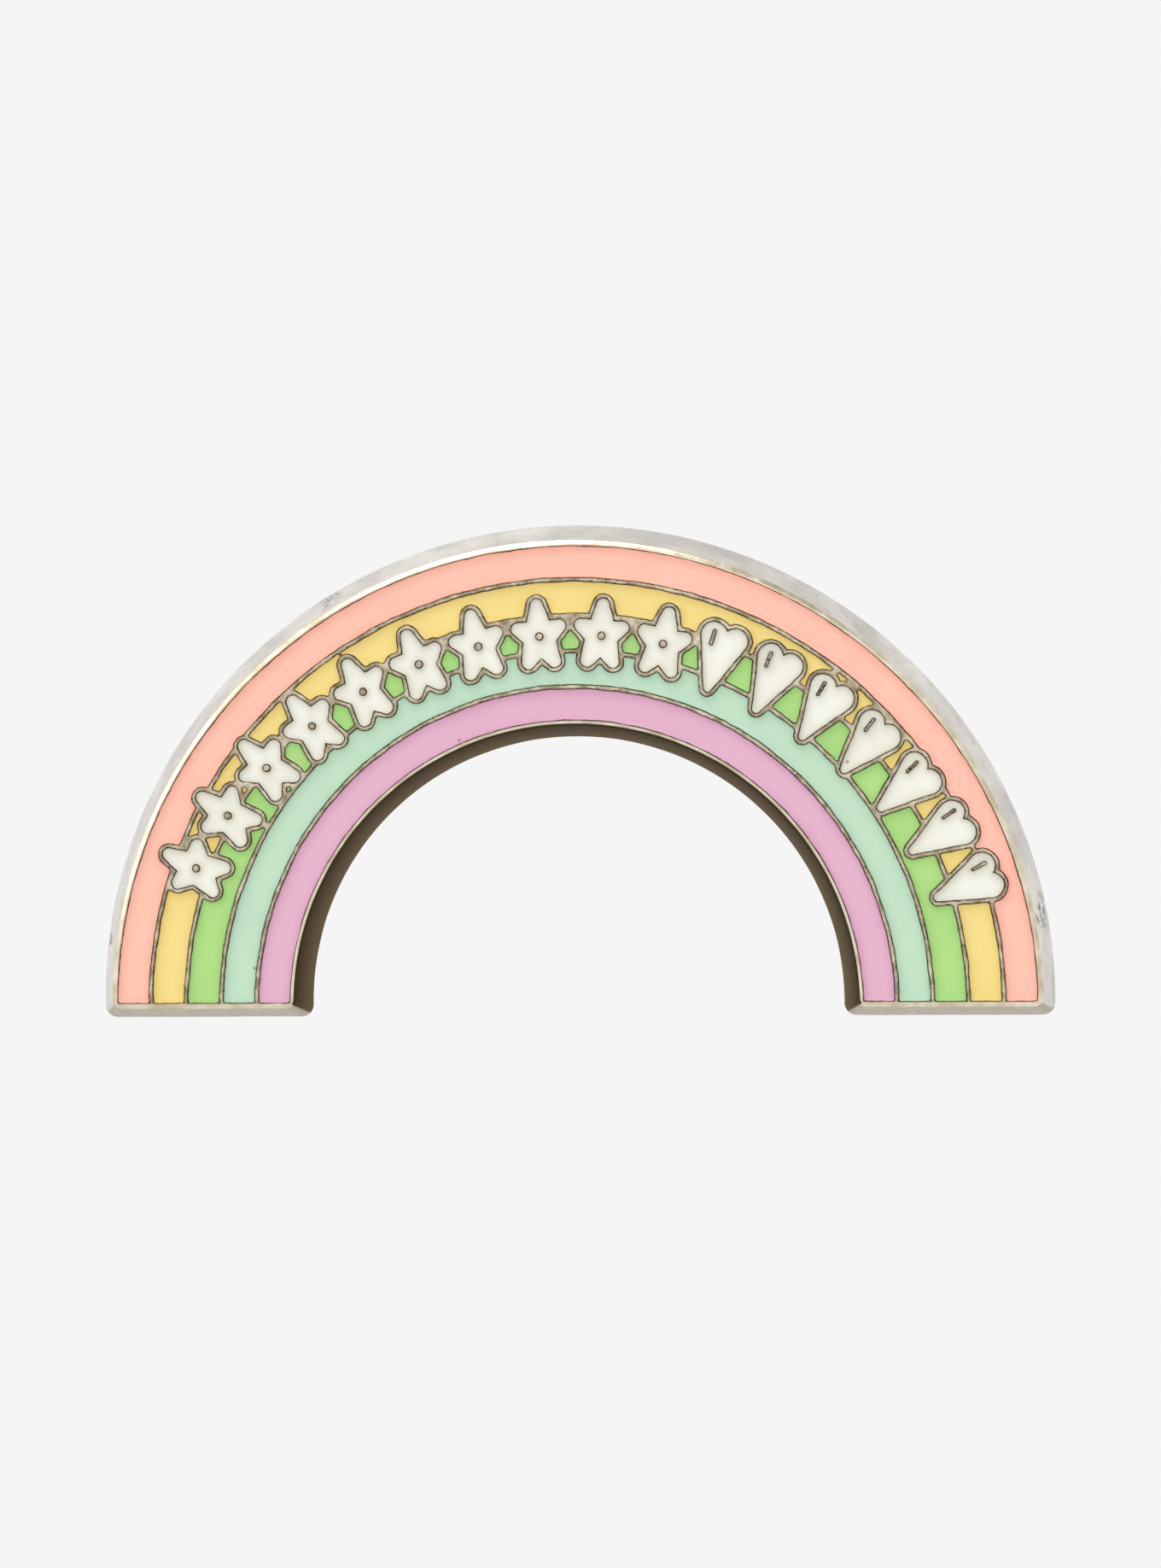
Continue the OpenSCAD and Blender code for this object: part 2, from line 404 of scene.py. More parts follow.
def outline(h, inset):
    """The arch's outline at height h, drawn in by inset, counterclockwise from the right corner.

    All outlines have the same number of points, so two of them can be joined by a strip.
    """
    corner_count, outer_count, inner_count, foot_count = 9, 520, 340, 48
    share = h / ARCH_T
    out_r = BACK_OUT_R - DRAFT * share - inset
    in_r = BACK_IN_R + DRAFT * share + inset
    foot_v = DRAFT * (share - 1) + inset
    corner = FOOT_CORNER_BACK + (FOOT_CORNER_FRONT - FOOT_CORNER_BACK) * share - inset * CORNER_SHRINK
    corner_v = foot_v + corner
    out_u = math.sqrt((out_r - corner) ** 2 - corner_v**2)
    in_u = math.sqrt((in_r + corner) ** 2 - corner_v**2)
    out_turn = math.atan2(corner_v, out_u)
    in_turn = math.atan2(corner_v, in_u)
    half = math.pi / 2
    return np.vstack([
        arc((out_u, corner_v), corner, -half, out_turn, corner_count),
        arc((0, 0), out_r, out_turn, math.pi - out_turn, outer_count),
        arc((-out_u, corner_v), corner, math.pi - out_turn, 3 * half, corner_count),
        level_line(-out_u, -in_u, foot_v, foot_count),
        arc((-in_u, corner_v), corner, -half, -in_turn, corner_count),
        arc((0, 0), in_r, math.pi - in_turn, in_turn, inner_count),
        arc((in_u, corner_v), corner, math.pi + in_turn, 3 * half, corner_count),
        level_line(in_u, out_u, foot_v, foot_count),
    ])


def line_height(uv, distance):
    """Height of the struck lines: round shoulders beside the pockets, and slightly uneven tops."""
    reach = np.clip(1 - distance / SHOULDER, 0, 1)
    drop = SHOULDER * (1 - np.sqrt(1 - reach**2))
    top = uneven(uv, 3.2, 2.2) * 0.6 + uneven(uv, 8.0, 6.3) * 0.4
    return ARCH_T - drop - UNEVEN * (0.5 + 0.5 * top)


def stain_and_shade_reach(distance):
    """How strongly the dark edging beside the enamel shows, from 1 at a pocket's edge to 0; it is
    partly staining and partly painted shade in the crease.
    """
    return np.clip(1 - distance / LINE_STAIN_AND_SHADE, 0, 1)


def line_points(border, rim):
    """Points for the lines' mesh: rows that follow the pockets' edges, and a grid between them."""
    grid_step, grid_gap, grid_rim_gap, grid_low = 0.16, 0.15, 0.1, 0.3
    least_step, rim_gap = 0.045, 0.03
    found = []
    for reach in (0.025, 0.06, 0.11):
        moved = border.points + border.outward * reach
        found.append(moved[border.distance(moved) > reach * 0.85])
    grid = hex_grid((-BACK_OUT_R, 0), (BACK_OUT_R, BACK_OUT_R), grid_step)
    radius = np.linalg.norm(grid, axis=1)
    rim_radius = np.linalg.norm(rim, axis=1)
    grid = grid[
        (radius > rim_radius.min() + grid_rim_gap)
        & (radius < rim_radius.max() - grid_rim_gap)
        & (grid[:, 1] > grid_low)
    ]
    found.append(grid[border.distance(grid) > grid_gap])
    points = thinned(np.vstack(found), least_step)
    return points[Border([rim]).distance(points) > rim_gap]


def add_face(mesh, rings, rim):
    """The lines, the pockets' walls and the pockets' floors."""
    border = Border(rings)
    uv, faces = triangulated([rim, *rings], line_points(border, rim))
    distance = border.distance(uv)
    # near_fill carries the dark edging beside the enamel, staining and painted shade; the pockets'
    # walls and floors get it in full.
    mesh.add(uv, line_height(uv, distance), faces, near_fill=stain_and_shade_reach(distance))
    for ring in rings:
        mesh.strip(ring, FLOOR_H, ring, line_height(ring, np.zeros(len(ring))), near_fill=1.0)
    uv, faces = triangulated(rings, NO_POINTS)
    mesh.add(uv, FLOOR_H, faces, near_fill=1.0)


def scuffed(ring):
    """How close each point of the outer wall lies to a scuff, from 0 to 1."""
    total = np.zeros(len(ring))
    for angle, size in SCUFFS:
        centre = BACK_OUT_R * np.array([math.cos(math.radians(angle)), math.sin(math.radians(angle))])
        total += np.exp(-((np.linalg.norm(ring - centre, axis=1) / size) ** 2))
    return np.clip(total, 0, 1)


def side_marks(ring, bevel, wall, tarnish_and_shade):
    """The marks of one ring of the sides; bevel, wall and the last argument are 0 or 1 for its level,
    the last marking where the inner wall is painted dark brown with tarnish and painted shade.

    The inner wall counts up to where it turns into the foot, and the foot where it faces down.
    """
    foot_v, inner_facing, foot_facing = 0.2, -0.75, -0.5
    inside = np.linalg.norm(ring, axis=1) < MID_R
    facing = outward(ring)[:, 1]
    inner = inside & ((ring[:, 1] > foot_v) | (facing > inner_facing))
    foot = (ring[:, 1] < foot_v) & (facing < foot_facing)
    return {
        "rim": np.full(len(ring), bevel),
        "side_wall": np.full(len(ring), wall),
        "inner_wall": inner * tarnish_and_shade,
        "foot_wall": foot * wall,
        "scuff": scuffed(ring) * wall,
    }


def side_levels():
    """The rings of the sides from face to back, as (h, inset, bevel, wall, inner wall's tarnish and
    painted shade).

    The bevel is partly a chamfer and partly round, and the inner wall's tarnish and painted shade begin
    halfway down it.
    """
    chamfer, wall_gap, wall_count = 0.6, 0.03, 11
    levels = [(ARCH_T, RIM_ROUND, 0.0, 0.0, 0.0)]
    for share in (0.14, 0.28, 0.42, 0.58, 0.72, 0.86, 1.0):
        turn = share * math.pi / 2
        drop = (1 - chamfer) * (1 - math.cos(turn)) + chamfer * share
        inset = (1 - chamfer) * (1 - math.sin(turn)) + chamfer * (1 - share)
        levels.append((ARCH_T - RIM_ROUND * drop, RIM_ROUND * inset, 1.0, 0.0, float(share > 0.5)))
    for h in np.linspace(ARCH_T - RIM_ROUND - wall_gap, BACK_ROUND, wall_count):
        levels.append((h, 0.0, 1.0, 1.0, 1.0))
    for turn in np.radians([22.5, 45, 67.5, 90]):
        h = BACK_ROUND * (1 - math.sin(turn))
        levels.append((h, BACK_ROUND * (1 - math.cos(turn)), 1.0, 1.0, 1.0))
    return levels


def side_ring(h, inset):
    """The outline at height h with a slightly hollow surface, except on the face and the back."""
    broad_scale, broad_by = 0.5, 0.016
    fine_scale, fine_by = 2.6, 0.006
    ring = outline(h, inset)
    if not 0 < h < ARCH_T:
        return ring
    broad = uneven(ring + h * 0.7, broad_scale, 4.4) * 0.5 + 0.5
    fine = uneven(ring - h * 2.1, fine_scale, 9.1) * 0.5 + 0.5
    return ring - outward(ring) * (broad_by * broad + fine_by * fine)[:, None]


def add_sides(mesh, rim_distance, rim_h):
    """The bevelled rim, the drafted side walls and the rounded back edge.

    Returns the back's ring and its marks.
    """
    levels = side_levels()
    rings = [side_ring(h, inset) for h, inset, *_ in levels]
    marks = [side_marks(outline(h, inset), *kind) for h, inset, *kind in levels]
    marks[0]["near_fill"] = stain_and_shade_reach(rim_distance)
    heights = [rim_h] + [level[0] for level in levels[1:]]
    for k in range(len(rings) - 1):
        pairs = {name: (marks[k + 1].get(name, 0.0), value) for name, value in marks[k].items()}
        mesh.strip(rings[k + 1], heights[k + 1], rings[k], heights[k], **pairs)
    return rings[-1], marks[-1]


def post_place(side):
    """Where a post stands on the face, as (u, v)."""
    turn = side * POST_ANGLE
    return np.array([MID_R * math.sin(turn), MID_R * math.cos(turn)])


def add_recess(mesh, centre):
    """A round recess with a chamfered lip. Returns the lip's outer circle."""
    lip_w, lip_h, count = 0.05, 0.04, 72
    levels = [(RECESS_R + lip_w, 0.0), (RECESS_R, lip_h), (RECESS_R, RECESS_DEPTH)]
    circles = [arc(centre, r, 0, 2 * math.pi, count) for r, _ in levels]
    for k in range(2):
        mesh.strip(circles[k], levels[k][1], circles[k + 1], levels[k + 1][1], back_face=1.0)
    uv, faces = triangulated([circles[2]], NO_POINTS)
    mesh.add(uv, RECESS_DEPTH, faces, flip=True, back_face=1.0)
    return circles[0]


def add_back(mesh, ring, ring_marks):
    """The back face, with the two round recesses that hold the posts' heads."""
    grid_step, edge_gap, recess_gap, margin_w = 0.9, 0.6, 0.4, 0.06
    grid = hex_grid((-BACK_OUT_R, 0), (BACK_OUT_R, BACK_OUT_R), grid_step)
    radius = np.linalg.norm(grid, axis=1)
    grid = grid[(radius > BACK_IN_R + edge_gap) & (radius < BACK_OUT_R - edge_gap)]
    lips = []
    for side in SIDES.values():
        centre = post_place(side)
        lips.append(add_recess(mesh, centre))
        grid = grid[np.linalg.norm(grid - centre, axis=1) > RECESS_R + recess_gap]
    margin = outline(0.0, BACK_ROUND + margin_w)
    pairs = {name: (0.0, value) for name, value in ring_marks.items()}
    mesh.strip(margin, 0.0, ring, 0.0, back_face=(1.0, 0.0), **pairs)
    uv, faces = triangulated([margin, *lips], grid)
    mesh.add(uv, 0.0, faces, flip=True, back_face=1.0)


def make_arch(material):
    """The struck plate as one closed mesh."""
    mesh = Mesh("near_fill", "rim", "side_wall", "inner_wall", "foot_wall", "scuff", "back_face")
    rings = [ring for group in RINGS.values() for ring in group]
    rim = outline(ARCH_T, RIM_ROUND)
    add_face(mesh, rings, rim)
    rim_distance = Border(rings).distance(rim)
    back_ring, back_marks = add_sides(mesh, rim_distance, line_height(rim, rim_distance))
    add_back(mesh, back_ring, back_marks)
    return piece(mesh.finished("struck_arch"), "arch_body", BODY, material)


# ---- Enamel ----


def fill_height(uv, distance):
    """Enamel creeps up the walls of its pocket and lies almost flat in the middle."""
    climb = FILL_SINK * (1 - np.exp(-distance / FILL_FALL))
    return ARCH_T - FILL_EDGE - climb + uneven(uv, 0.8, 7.7) * 0.006


def fill_points(border):
    """Points for a fill's mesh: rows that follow its edge, and a coarser grid in the middle."""
    grid_step, grid_gap = 0.24, 0.38
    found = []
    for reach in (0.035, 0.09, 0.17, 0.28):
        moved = border.points - border.outward * reach
        found.append(thinned(moved[border.distance(moved) > reach * 0.9], reach * 0.6))
    grid = hex_grid(border.points.min(axis=0), border.points.max(axis=0), grid_step)
    found.append(grid[border.distance(grid) > grid_gap])
    return np.vstack(found)


def make_fill(node, material):
    """The enamel of one CAD fill. It reaches a little into the pockets' walls."""
    rings = [ring + outward(ring) * FILL_LAP for ring in RINGS[node]]
    border = Border(rings)
    uv, faces = triangulated(rings, fill_points(border))
    distance = border.distance(uv)
    mesh = Mesh("near_wall")
    mesh.add(uv, fill_height(uv, distance), faces, near_wall=np.exp(-distance / FILL_SHADE))
    for ring in rings:
        edge = fill_height(ring, np.zeros(len(ring)))
        mesh.strip(ring[::-1], edge[::-1], ring[::-1], FLOOR_H, near_wall=1.0)
    uv, faces = triangulated(rings, NO_POINTS)
    mesh.add(uv, FLOOR_H, faces, flip=True, near_wall=1.0)
    return piece(mesh.finished(node.replace("_enamel", "_fill")), node, BODY, material)


# ---- Posts and clutches, in millimetres along a post ----


def at_post(side):
    """Takes a post's own millimetres to the world: its Z runs back along the post."""
    u, v = post_place(side)
    place = Matrix.Translation((u * MM, 0, (v - MID_R) * MM))
    turn = Matrix.Rotation(side * POST_ANGLE, 4, "Y") @ Matrix.Rotation(-math.pi / 2, 4, "X")
    return place @ turn @ Matrix.Scale(MM, 4)


def bend(start, corner, end, steps):
    """Points of a curve from start to end that is drawn towards the corner."""
    shares = [i / steps for i in range(steps + 1)]
    return [start * (1 - t) ** 2 + corner * 2 * t * (1 - t) + end * t**2 for t in shares]


def soft_corners(points, radius, steps=4, closed=True):
    """A profile with every corner rounded, except those on the axis and the ends of an open one."""
    points = [Vector(p) for p in points]
    out = []
    for k, corner in enumerate(points):
        if not closed and k in (0, len(points) - 1):
            out.append(corner)
            continue
        back = points[k - 1] - corner
        on = points[(k + 1) % len(points)] - corner
        reach = min(radius, 0.45 * back.length, 0.45 * on.length)
        if corner.x < 1e-6 or reach < 1e-4:
            out.append(corner)
            continue
        out += bend(corner + back.normalized() * reach, corner, corner + on.normalized() * reach, steps)
    return out


def lathe(name, profile, turns=96):
    """A solid of revolution about Z from a closed profile of (radius, z) points."""
    verts, faces = [], []
    for i in range(turns):
        angle = 2 * math.pi * i / turns
        verts += [(p[0] * math.cos(angle), p[0] * math.sin(angle), p[1]) for p in profile]
    count = len(profile)
    for i in range(turns):
        here, there = i * count, (i + 1) % turns * count
        for k in range(count):
            on = (k + 1) % count
            faces.append((here + k, there + k, there + on, here + on))
    return facing_out(new_object(name, verts, faces))


def raised(profile):
    """A clutch part's profile, moved from the cup's underside to its place along the post."""
    return [(p[0], p[1] + CLOTH_GAP) for p in profile]


def placed(obj, side, sharp_angle=40):
    """Moves a piece from a post's own millimetres to its place, inside its mesh data."""
    obj.data.transform(at_post(side))
    return welded(obj, sharp_angle)


def make_post(side_name, material):
    """A headed pin with two grip grooves and a sharp tip."""
    head_top, fillet = 0.3 - RECESS_DEPTH, 0.12
    groove_depth, groove_half = 0.08, 0.11
    tip_l, tip_mid_r, tip_r = 1.0, 0.3, 0.08
    profile = [(0, -RECESS_DEPTH), (HEAD_R, -RECESS_DEPTH), (HEAD_R, head_top)]
    profile += [(POST_R + fillet, head_top), (POST_R, head_top + fillet)]
    for groove in (4.9, 6.1):
        for turn in np.linspace(-math.pi / 2, math.pi / 2, 7):
            r = POST_R - groove_depth * math.cos(turn)
            profile.append((r, groove + groove_half * math.sin(turn)))
    profile += [(POST_R, POST_L - tip_l), (tip_mid_r, POST_L - tip_l * 0.48)]
    profile += [(tip_r, POST_L - 0.05), (0, POST_L)]
    obj = lathe(f"post_{side_name}_turned", soft_corners(profile, 0.06))
    return piece(placed(obj, SIDES[side_name]), f"post_{side_name}", BODY, material)


def make_solder(side_name, material):
    """A slightly lumpy ring of solder between a post's head and its recess."""
    outer_r = RECESS_R - FIT_GAP
    low, high, rise = -RECESS_DEPTH, 0.06, 0.24
    lump_scale, lump_depth = 1.7, 0.05
    profile = [(HEAD_R, low), (outer_r, low), (outer_r, low + 0.05)]
    for turn in np.linspace(0.25, 1, 6) * math.pi / 2:
        r = outer_r - (outer_r - HEAD_R) * math.sin(turn) * 0.9
        profile.append((r, high - rise * math.cos(turn)))
    profile.append((HEAD_R, high))
    obj = lathe(f"solder_{side_name}_ring", profile)
    for vertex in obj.data.vertices:
        if vertex.co.z > low + 0.1:
            place = Vector(vertex.co) * lump_scale + Vector((SIDES[side_name] * 5, 0, 0))
            vertex.co.z += min(0.0, noise.noise(place) * lump_depth)
    return piece(placed(obj, SIDES[side_name]), f"solder_{side_name}", BODY, material)


def make_clutch_base(side_name, material):
    """The clutch's cup: a plate with a raised ring, a rolled rim, and a neck that guides the post."""
    hole_r, chamfer = CLUTCH_HOLE_R, 0.05
    neck_r, neck_h, neck_chamfer = 1.0, 0.75, 0.06
    ring_in, ring_out, ring_h, ring_slope = 1.5, 3.15, 0.08, 0.15
    roll_at, roll_r = 4.0, 0.5
    plate = [(hole_r, chamfer), (hole_r + chamfer, 0), (ring_in, 0), (ring_in + ring_slope, ring_h)]
    plate += [(ring_out - ring_slope, ring_h), (ring_out, 0), (roll_at, 0)]
    roll = []
    for angle in np.radians(np.linspace(-80, 195, 23)):
        roll.append((roll_at + roll_r * math.cos(angle), roll_r + roll_r * math.sin(angle)))
    inside = [(3.2, SHEET_T), (neck_r + 0.1, SHEET_T), (neck_r, SHEET_T + 0.1)]
    neck = [(neck_r, neck_h - neck_chamfer), (neck_r - neck_chamfer, neck_h), (hole_r, neck_h)]
    profile = raised(soft_corners(plate, 0.08, closed=False) + roll + inside + neck)
    obj = placed(lathe(f"clutch_base_{side_name}_cup", profile), SIDES[side_name], 50)
    return piece(obj, f"clutch_base_{side_name}", f"clutch_{side_name}", material)


def rounded_box(name, lo, hi, radius):
    """A box with rounded edges, used as a cutting tool."""
    verts = [(x, y, z) for x in (lo[0], hi[0]) for y in (lo[1], hi[1]) for z in (lo[2], hi[2])]
    faces = [(0, 1, 3, 2), (4, 6, 7, 5), (0, 4, 5, 1), (2, 3, 7, 6), (0, 2, 6, 4), (1, 5, 7, 3)]
    return bevelled(new_object(name, verts, faces), radius, 4)


def cut_through(obj, cutter):
    """Takes the cutter's shape out of a piece and deletes the cutter."""
    cut = obj.modifiers.new("slots", "BOOLEAN")
    cut.object = cutter
    cut.operation = "DIFFERENCE"
    with_modifiers_applied(obj)
    bpy.data.objects.remove(cutter)


def make_clutch_cover(side_name, material):
    """The clutch's round cover, with a slot on each side for the wings' necks."""
    hole_r, out_r, top = CLUTCH_HOLE_R, 3.5, 4.3
    dish_in, dish_out, dish_depth = 1.5, 1.9, 0.14
    slot_half_w, slot_low, slot_high = 1.6, 2.7 + CLOTH_GAP, 3.75 + CLOTH_GAP
    profile = [(out_r, SHEET_T), (out_r, top), (dish_out, top), (dish_in, top - dish_depth)]
    profile += [(hole_r, top - dish_depth), (hole_r, top - 0.45), (dish_in + 0.1, top - 0.45)]
    profile += [(dish_out + 0.1, top - SHEET_T), (out_r - SHEET_T, top - SHEET_T)]
    profile.append((out_r - SHEET_T, SHEET_T))
    obj = lathe(f"clutch_cover_{side_name}_shell", raised(soft_corners(profile, 0.3, 6)), 128)
    corner = (5, slot_half_w, slot_high)
    cut_through(obj, rounded_box("slot_cutter", (-5, -slot_half_w, slot_low), corner, 0.25))
    bevelled(obj, 0.05)
    obj = placed(obj, SIDES[side_name])
    return piece(obj, f"clutch_cover_{side_name}", f"clutch_{side_name}", material)


def bent_path(corners, radius, steps=7):
    """Points along a line with rounded bends, in (x, z)."""
    corners = [Vector(c) for c in corners]
    out = [corners[0]]
    for before, corner, after in zip(corners, corners[1:], corners[2:]):
        start = corner + (before - corner).normalized() * radius
        end = corner + (after - corner).normalized() * radius
        out += bend(start, corner, end, steps)
    out.append(corners[-1])
    return np.array([(p.x, p.y) for p in out])


def wing_path():
    """The middle line of a wing's strip in (x, z), and how far along it each point lies."""
    ear_end = (BEND_X + EAR_L * math.cos(EAR_LEAN), NECK_Z + EAR_L * math.sin(EAR_LEAN))
    corners = [(JAW_X, JAW_Z), (WEB_X, JAW_Z), (WEB_X, NECK_Z), (BEND_X, NECK_Z), ear_end]
    path = bent_path(corners, WING_BEND_R)
    along = np.concatenate([[0], np.cumsum(np.linalg.norm(np.diff(path, axis=0), axis=1))])
    return path, along


def wing_half_width(along, total):
    """Half the wing's width at a distance along it: jaw, web, neck, then the round ear."""
    centre = total - EAR_R
    if along > centre:
        return math.sqrt(max(EAR_R**2 - (along - centre) ** 2, 0.0))
    stops = [0, 1.6, 2.2, 3.2, 3.9, 5.2, centre]
    widths = [1.0, 1.0, 0.9, 0.9, 1.2, 1.2, EAR_R]
    return float(np.interp(along, stops, widths))


def wing_stations(total):
    """Where the strip's rows of vertices lie along it, closest together at the ear's round end."""
    ease = 1 - (1 - np.linspace(0, 1, 16)) ** 2
    return np.concatenate([
        np.linspace(0, NOTCH_L, 10, endpoint=False),
        np.linspace(NOTCH_L, total - EAR_R, 44, endpoint=False),
        total - EAR_R + (EAR_R - EAR_TIP) * ease,
    ])


def wing_vertex(path, along, s, q, layer):
    """A vertex at s along the strip and q across it (-1 to 1), on the layer at -0.5 or 0.5."""

    def on_path(at):
        return [float(np.interp(at, along, path[:, k])) for k in (0, 1)]

    total = along[-1]
    y = q * wing_half_width(s, total)
    notch = max(math.sqrt(max(NOTCH_R**2 - y**2, 0.0)) - JAW_X, 0.0)
    at = s if s > NOTCH_L else notch + (NOTCH_L - notch) * s / NOTCH_L
    x, z = on_path(at)
    (x_on, z_on), (x_back, z_back) = on_path(at + 0.02), on_path(at - 0.02)
    step_x, step_z = x_on - x_back, z_on - z_back
    size = math.hypot(step_x, step_z)
    lift = layer * SHEET_T - DISH * (1 - q * q) * max(s - total + DISH_L, 0.0) / DISH_L
    return x - step_z / size * lift, y, z + step_x / size * lift + CLOTH_GAP


def wing_faces(rows, columns):
    """Quads over both layers of the strip and round its edge."""

    def at_grid(layer, i, j):
        return layer * rows * columns + i * columns + j

    faces = []
    for i in range(rows - 1):
        for j in range(columns - 1):
            quad = [(i, j), (i, j + 1), (i + 1, j + 1), (i + 1, j)]
            faces.append([at_grid(0, *c) for c in quad])
            faces.append([at_grid(1, *c) for c in reversed(quad)])
    rim = [(0, j) for j in range(columns)]
    rim += [(i, columns - 1) for i in range(1, rows)]
    rim += [(rows - 1, j) for j in reversed(range(columns - 1))]
    rim += [(i, 0) for i in range(rows - 2, 0, -1)]
    for here, there in zip(rim, rim[1:] + rim[:1]):
        faces.append((at_grid(0, *here), at_grid(0, *there), at_grid(1, *there), at_grid(1, *here)))
    return faces


def make_wing(side_name, kind, material):
    """A stamped strip: a notched jaw at the post, a web, a neck through the slot, and an ear."""
    path, along = wing_path()
    stations = wing_stations(along[-1])
    across = np.linspace(-1, 1, 25)
    verts = []
    for layer in (-0.5, 0.5):
        verts += [wing_vertex(path, along, s, q, layer) for s in stations for q in across]
    faces = wing_faces(len(stations), len(across))
    obj = facing_out(new_object(f"wing_{kind}_{side_name}_strip", verts, faces))
    bevelled(obj, 0.06)
    way = SIDES[side_name] * (1 if kind == "foot" else -1)
    if way < 0:
        obj.data.transform(Matrix.Rotation(math.pi, 4, "Z"))
    node = f"wing_{kind}_{side_name}"
    return piece(placed(obj, SIDES[side_name]), node, node, material)


def make_spring(side_name, material):
    """The closed wire ring that presses a clutch's two jaws onto the post."""
    ring_r, ring_z, wire_r, wire_sides = 2.97, 2.35, 0.17, 16
    profile = []
    for angle in 2 * math.pi * np.arange(wire_sides) / wire_sides:
        profile.append((ring_r + wire_r * math.cos(angle), ring_z + wire_r * math.sin(angle)))
    obj = placed(lathe(f"grip_spring_{side_name}_wire", raised(profile), 128), SIDES[side_name])
    return piece(obj, f"grip_spring_{side_name}", f"clutch_{side_name}", material)


# ---- Materials ----


def tint(code):
    """A linear colour from a web colour."""
    parts = [int(code[k : k + 2], 16) / 255 for k in (1, 3, 5)]
    linear = [p / 12.92 if p <= 0.04045 else ((p + 0.055) / 1.055) ** 2.4 for p in parts]
    return (*linear, 1.0)


class Look:
    """A material whose nodes are wired as they are made. Noise scales are in waves per millimetre."""

    def __init__(self, name):
        self.material = bpy.data.materials.new(name)
        self.material.use_nodes = True
        self.tree = self.material.node_tree
        self.tree.nodes.clear()
        self.shader = self.node("ShaderNodeBsdfPrincipled")
        out = self.node("ShaderNodeOutputMaterial")
        self.tree.links.new(self.shader.outputs[0], out.inputs["Surface"])
        self.place = self.node("ShaderNodeTexCoord").outputs["Object"]

    def node(self, kind, inputs=None, **settings):
        """A new node. Each of its inputs is linked to a socket or set to a value."""
        made = self.tree.nodes.new(kind)
        for key, value in settings.items():
            setattr(made, key, value)
        for key, value in (inputs or {}).items():
            self.plug(made.inputs[key], value)
        return made

    def plug(self, socket, value):
        if isinstance(value, bpy.types.NodeSocket):
            self.tree.links.new(value, socket)
        else:
            socket.default_value = value

    def set(self, **inputs):
        """Plugs the shader's inputs. An underscore stands for a space in a socket's name."""
        for key, value in inputs.items():
            self.plug(self.shader.inputs[key.replace("_", " ")], value)

    def noise(self, scale, detail, roughness=0.55):
        inputs = {"Vector": self.place, "Scale": scale / MM, "Detail": detail, "Roughness": roughness}
        return self.node("ShaderNodeTexNoise", inputs).outputs["Fac"]

    def mark(self, name):
        """A mark that the mesh carries on its vertices."""
        return self.node("ShaderNodeAttribute", attribute_name=name).outputs["Fac"]

    def spread(self, value, low, high, to_low=0.0, to_high=1.0):
        """Maps low..high of a value to to_low..to_high, clamped."""
        inputs = {"Value": value, "From Min": low, "From Max": high}
        inputs.update({"To Min": to_low, "To Max": to_high})
        return self.node("ShaderNodeMapRange", inputs).outputs["Result"]

    def add(self, a, b):
        return self.node("ShaderNodeMath", {0: a, 1: b}, operation="ADD").outputs[0]

    def times(self, a, b):
        return self.node("ShaderNodeMath", {0: a, 1: b}, operation="MULTIPLY").outputs[0]

    def mix(self, factor, a, b):
        """A colour between a and b. The node's colour sockets are 6, 7 and output 2."""
        made = self.node("ShaderNodeMix", {0: factor, 6: a, 7: b}, data_type="RGBA")
        return made.outputs[2]

    def bump(self, height, distance_mm, strength):
        inputs = {"Height": height, "Distance": distance_mm * MM, "Strength": strength}
        return self.node("ShaderNodeBump", inputs).outputs["Normal"]


def line_colour(look, grain):
    """Cream plating with painted glints, and dark edging beside the enamel that is partly staining and
    partly painted shade in the crease.
    """
    blend = look.spread(look.noise(1.7, 4), 0.36, 0.64)
    cream = look.mix(blend, tint("#93846a"), tint("#d8ccb3"))
    # Painted highlight: near-white glints where the grain is high.
    with_painted_glints = look.mix(look.spread(grain, 0.6, 0.72, 0.0, 0.7), cream, tint("#fbf6ea"))
    # Dark edging beside the enamel: partly staining, partly painted shade in the crease.
    patches = look.spread(look.noise(2.2, 4), 0.28, 0.5, 0.35, 1.0)
    stain_and_shade = look.times(look.mark("near_fill"), patches)
    return look.mix(look.spread(stain_and_shade, 0.05, 0.45), with_painted_glints, tint("#3a3022"))


def bevel_highlight_colour(look):
    """The rim's bevel, painted lighter than the lines as a painted highlight."""
    return look.mix(look.spread(look.noise(0.9, 3), 0.35, 0.65), tint("#cbbd9f"), tint("#efe5cf"))


def wall_colour(look):
    """Satin plating with darker patches."""
    cast = look.mix(look.spread(look.noise(0.35, 4), 0.35, 0.65), tint("#c5bfb9"), tint("#e4dfd8"))
    patches = look.spread(look.noise(1.5, 5, 0.65), 0.52, 0.7, 0.0, 0.5)
    return look.mix(patches, cast, tint("#b7aca4"))


def scuff_strength(look):
    """How strongly the outer wall's scuffs show, broken up into scratches."""
    scratches = look.spread(look.noise(2.2, 5, 0.7), 0.45, 0.6)
    return look.spread(look.times(scratches, look.mark("scuff")), 0.1, 0.6, 0.0, 0.85)


def tarnish_and_shade_colour(look):
    """The inner wall's dark brown, partly tarnish and partly painted shade in place of its dark
    reflection, darkest at the face.
    """
    face_y, back_y = -2.3 * MM, -0.3 * MM
    depth = look.node("ShaderNodeSeparateXYZ", {"Vector": look.place}).outputs["Y"]
    return look.mix(look.spread(depth, face_y, back_y), tint("#3d2f1f"), tint("#67563f"))


